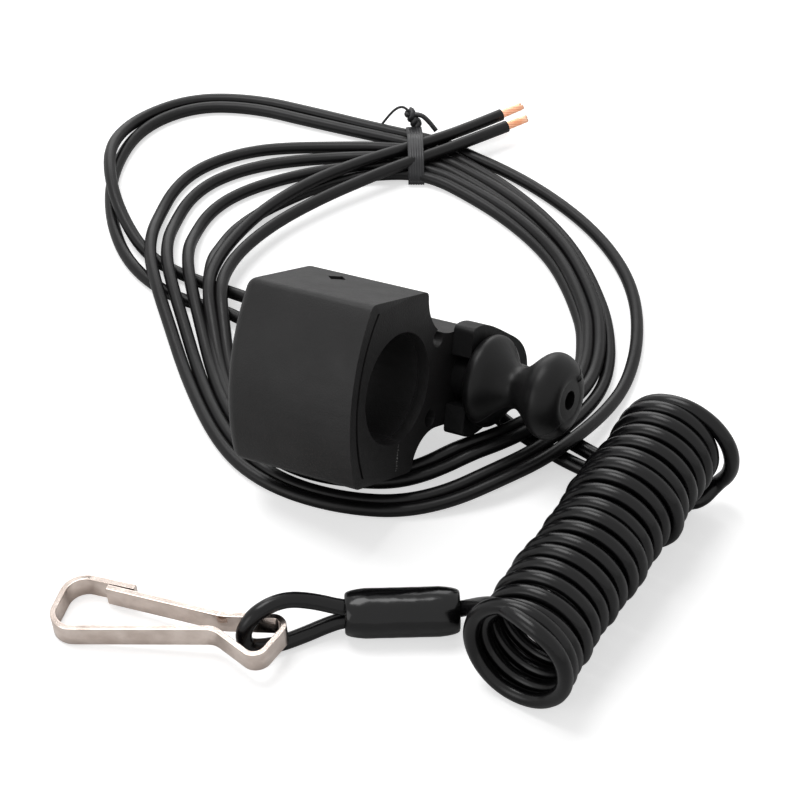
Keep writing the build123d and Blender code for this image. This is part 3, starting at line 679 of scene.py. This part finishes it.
TIE_X = 16.85
TIE_LOOP = [
    (87.4, 1.7), (87.6, 0.6), (89.6, 0.46), (96.0, 0.46), (103.2, 0.46), (105.2, 0.6), (105.3, 1.8),
    (104.6, 3.2), (102.8, 3.8), (98.4, 6.0), (95.8, 6.4), (91.2, 6.2), (88.4, 3.6),
]
TIE_CENTRE = (96.4, 2.5)
TIE_WIDTH = 3.5
TIE_LEAN = 0.03
TIE_FILM = 0.25          # thickness
TIE_LIFT = 0.32          # of the film's inner side, from the loop's line
TIE_RIBS, TIE_RIB_HEIGHT = 3, 0.13
TIE_ACROSS = 25          # points across its width
KNOT_ROOT, KNOT_TOP = (17.6, 105.6, 2.6), (15.4, 106.8, 6.2)
KNOT_TURNS = 1.6
KNOT_STEPS = 32
KNOT_SPREAD, KNOT_STRAND_R = 0.62, 0.78
BOW = [(0, 0, 0), (-1.0, 0.6, 1.0), (-2.8, 0.6, 0.6), (-4.8, 0.0, -1.4), (-6.4, -0.6, -3.6)]
FLAP = [(0.4, -0.4, -0.6), (2.6, -0.8, 0.0), (4.8, -1.8, -1.6), (6.4, -3.0, -3.4)]
BOW_R, FLAP_R = 0.3, 0.55


def twist_tie():
    """Ribbed band round the bundle with its ends twisted together behind it."""
    line = line_of([above(TIE_X, y, h) for y, h in TIE_LOOP + TIE_LOOP[:2]], 6)
    centre = above(TIE_X, *TIE_CENTRE)
    vertices, faces = [], []
    for here in line:
        out = here - centre
        out.x = 0
        out.normalize()
        lean = TIE_LEAN * (here.y - centre.y)
        for k in range(TIE_ACROSS):
            share = k / (TIE_ACROSS - 1) - 0.5
            rib = TIE_RIB_HEIGHT * math.cos(share * 2 * math.pi * TIE_RIBS) ** 2
            across = Vector((share * TIE_WIDTH * MM - lean, 0, 0))
            vertices.append(here + out * (TIE_LIFT + rib) * MM + across)
    for i in range(len(line) - 1):
        for k in range(TIE_ACROSS - 1):
            a = i * TIE_ACROSS + k
            faces.append((a, a + 1, a + 1 + TIE_ACROSS, a + TIE_ACROSS))
    band = mesh_object("tie_band", vertices, faces)
    film = band.modifiers.new("thickness", "SOLIDIFY")
    film.thickness = TIE_FILM * MM
    film.offset = 1
    finish_piece(band, "tie", nodes=["twist_tie"])


def tie_knot():
    """The twisted ends, and the two ends that stand out of the twist."""
    root, top = above(*KNOT_ROOT), above(*KNOT_TOP)
    axis = (top - root).normalized()
    side = axis.orthogonal().normalized()
    other = axis.cross(side)
    strands = []
    for k in range(2):
        line = []
        for i in range(KNOT_STEPS + 1):
            share = i / KNOT_STEPS
            angle = math.pi * k + share * 2 * math.pi * KNOT_TURNS
            out = side * math.cos(angle) + other * math.sin(angle)
            line.append(root.lerp(top, share) + out * KNOT_SPREAD * MM)
        strands.append(tube_mesh(f"tie_strand_{k}", line, KNOT_STRAND_R * MM, 10))
    finish_piece(join(strands, "tie_knot"), "tie")
    for name, steps, radius in (("tie_wire", BOW, BOW_R), ("tie_end", FLAP, FLAP_R)):
        line = line_of([top + Vector(step) * MM for step in steps])
        finish_piece(tube_mesh(name, line, radius * MM, 8), "tie")


# Moulding marks

PARTING_Y = 2.5
MOUTH_R = 11.6
BLOCK_HALF_HEIGHT = 18.8
FLASH_ENDS = (0.2, 0.9)          # short of the bore's mouth, and of the block's lower face
KNOB_FROM = HALF_LENGTH + 5.2    # past the flange's back face
KNOB_OVER_R = 4.0                # the dimple in its end has no mould line
RIDGE_ANGLES = (54.0, 234.0)
RIDGE_R, RIDGE_SUNK = 0.09, 0.045
NUB_AT_R = 5.2                   # of the domed end, where the nub stands
NUB_FOOT, NUB_TIP = (-0.5, -0.3), (0.35, 0.25)   # along the knob's axis and outwards
NUB_R, NUB_TAPER = 0.75, 0.35
NUB_STEPS = 4


def parting_flash():
    """Torn flash along the parting line, on the end face by the bore."""
    vertices, faces = [], []
    face = HALF_LENGTH - 0.02
    z = -MOUTH_R - FLASH_ENDS[0]
    while z > -BLOCK_HALF_HEIGHT + FLASH_ENDS[1]:
        step = random.uniform(0.25, 0.8)
        left, right = random.uniform(0.05, 0.42), random.uniform(0.03, 0.25)
        rise = random.uniform(0.08, 0.3)
        first = len(vertices)
        middle = PARTING_Y + random.uniform(-0.08, 0.08)
        vertices += [resting(face, middle - left, z - step * 0.5),
                     resting(face, middle, z),
                     resting(face, middle + right, z - step * 0.4),
                     resting(face, middle, z - step),
                     resting(HALF_LENGTH + rise, middle, z - step * random.uniform(0.3, 0.7))]
        faces += [(first + k, first + (k + 1) % 4, first + 4) for k in range(4)]
        faces.append((first + 3, first + 2, first + 1, first))
        z -= step * random.uniform(0.8, 1.5)
    flash = mesh_object("parting_flash", vertices, faces, smooth=False)
    held = flash.data.attributes.new("worn", "FLOAT", "POINT")
    for value in held.data:
        value.value = random.uniform(0.2, 1.0)
    finish_piece(flash, "housing")


def knob_profile():
    """Radii of the knob along its axis, read from its mesh, in millimetres."""
    inverse = Matrix((turned((1, 0, 0)), turned((0, 1, 0)), turned((0, 0, 1))))
    node = frame["nodes"]["button"]
    found = {}
    for vertex in node.data.vertices:
        x, y, z = inverse @ (node.matrix_world @ vertex.co) / MM
        radius = math.hypot(y - BARREL_Y, z - BARREL_Z)
        if x > KNOB_FROM:
            found[round(x, 1)] = max(radius, found.get(round(x, 1), 0))
    return sorted(found.items())


def on_knob(x, radius, angle):
    """A point round the button's axis."""
    turn = math.radians(angle)
    return resting(x, BARREL_Y + radius * math.cos(turn), BARREL_Z + radius * math.sin(turn))


def knob_marks():
    """The knob's faint mould line on both sides, and the nub left by its gate."""
    profile = [(x, r) for x, r in knob_profile() if r > KNOB_OVER_R]
    ridges = []
    for n, angle in enumerate(RIDGE_ANGLES):
        line = [on_knob(x, r - RIDGE_SUNK, angle) for x, r in profile]
        ridges.append(tube_mesh(f"ridge_{n}", line, RIDGE_R * MM, 6))
    x, r = min(profile, key=lambda pair: abs(pair[1] - NUB_AT_R) - pair[0])
    foot, tip = (on_knob(x + along, r + out, RIDGE_ANGLES[0]) for along, out in (NUB_FOOT, NUB_TIP))
    line = [foot.lerp(tip, k / NUB_STEPS) for k in range(NUB_STEPS + 1)]
    ridges.append(tube_mesh("nub", line, lambda share: (NUB_R - NUB_TAPER * share * share) * MM, 12))
    finish_piece(join(ridges, "knob_marks"), "button", body="button")


# Scene

VIEW_FROM, VIEW_TO = (13.36, -406.4, 398.8), (13.36, 17.83, -BORE_HEIGHT)
LENS, SENSOR = 127.1, 36.0
LIGHTS = [               # place, side of the square in metres, and watts
    ("key", (-0.22, 0.24, 0.85), 0.5, 4.3),
    ("fill", (-0.85, -0.6, 0.45), 0.6, 2.0),
    ("back", (-0.05, 0.95, 0.42), 0.7, 3.0),
]
LIT_POINT = (0, 0.02, 0)
ROOM_FILL = 0.34         # strength of the white room, where it isn't seen or mirrored
FLOOR_HALF = 3.0
FLOOR_GREY, FLOOR_GLOW = 0.8, 0.58


def add_camera():
    """The photograph's view: 45 degrees down along +Y."""
    data = bpy.data.cameras.new("camera")
    camera = bpy.data.objects.new("camera", data)
    bpy.context.scene.collection.objects.link(camera)
    target = Vector(VIEW_TO) * MM
    camera.location = Vector(VIEW_FROM) * MM
    camera.rotation_mode = "QUATERNION"
    camera.rotation_quaternion = (target - camera.location).to_track_quat("-Z", "Y")
    data.lens = LENS
    data.sensor_width = SENSOR
    data.clip_start = 0.01
    data.clip_end = 20.0
    bpy.context.scene.camera = camera


def area_light(name, place, size, power):
    """A square soft light that looks at the object's middle."""
    data = bpy.data.lights.new(name, "AREA")
    data.shape = "SQUARE"
    data.size = size
    data.energy = power
    light = bpy.data.objects.new(name, data)
    bpy.context.scene.collection.objects.link(light)
    light.location = place
    light.rotation_mode = "QUATERNION"
    light.rotation_quaternion = (Vector(LIT_POINT) - Vector(place)).to_track_quat("-Z", "Y")


def add_floor():
    """A pale surface that keeps the shadows."""
    corners = [(x * FLOOR_HALF, y * FLOOR_HALF, -BORE_HEIGHT * MM)
               for x, y in ((-1, -1), (1, -1), (1, 1), (-1, 1))]
    floor = mesh_object("floor", corners, [(0, 1, 2, 3)], smooth=False)
    material, nodes, links, shader, _ = new_material("floor")
    nodes.remove(shader)
    diffuse = nodes.new("ShaderNodeBsdfDiffuse")
    diffuse.inputs["Color"].default_value = (FLOOR_GREY, FLOOR_GREY, FLOOR_GREY, 1)
    glow = nodes.new("ShaderNodeEmission")
    rays = nodes.new("ShaderNodeLightPath")
    seen = nodes.new("ShaderNodeMath")
    seen.operation = "MULTIPLY"
    seen.inputs[1].default_value = FLOOR_GLOW
    links.new(rays.outputs["Is Camera Ray"], seen.inputs[0])
    links.new(seen.outputs["Value"], glow.inputs["Strength"])
    both = nodes.new("ShaderNodeAddShader")
    links.new(diffuse.outputs[0], both.inputs[0])
    links.new(glow.outputs[0], both.inputs[1])
    links.new(both.outputs[0], nodes["Material Output"].inputs["Surface"])
    floor.data.materials.append(material)


def add_world():
    """White where it is seen or mirrored, and a soft fill elsewhere."""
    world = bpy.data.worlds.new("studio")
    bpy.context.scene.world = world
    world.use_nodes = True
    nodes, links = world.node_tree.nodes, world.node_tree.links
    background = nodes["Background"]
    background.inputs["Color"].default_value = (1, 1, 1, 1)
    rays = nodes.new("ShaderNodeLightPath")
    seen = rays.outputs["Is Camera Ray"]
    for ray in ("Is Glossy Ray", "Is Transmission Ray"):
        most = nodes.new("ShaderNodeMath")
        most.operation = "MAXIMUM"
        links.new(seen, most.inputs[0])
        links.new(rays.outputs[ray], most.inputs[1])
        seen = most.outputs["Value"]
    strength = nodes.new("ShaderNodeMapRange")
    strength.inputs["To Min"].default_value = ROOM_FILL
    strength.inputs["To Max"].default_value = 1.0
    links.new(seen, strength.inputs["Value"])
    links.new(strength.outputs["Result"], background.inputs["Strength"])


add_camera()
add_floor()
add_world()
for row in LIGHTS:
    area_light(*row)
bpy.context.scene.view_settings.view_transform = "Standard"

dress_nodes()
round_edges()
parting_flash()
knob_marks()
make_wire("wire_upper", TERMINAL_SPREAD, UPPER_LEAD, UPPER_PASSES, UPPER_TAIL,
          ["wire_lead_upper", "wire_tail_upper", "wire_coil"], "copper_end_upper")
make_wire("wire_lower", -TERMINAL_SPREAD, LOWER_LEAD, LOWER_PASSES, LOWER_TAIL,
          ["wire_lead_lower", "wire_tail_lower"], "copper_end_lower")
make_lanyard()
twist_tie()
tie_knot()
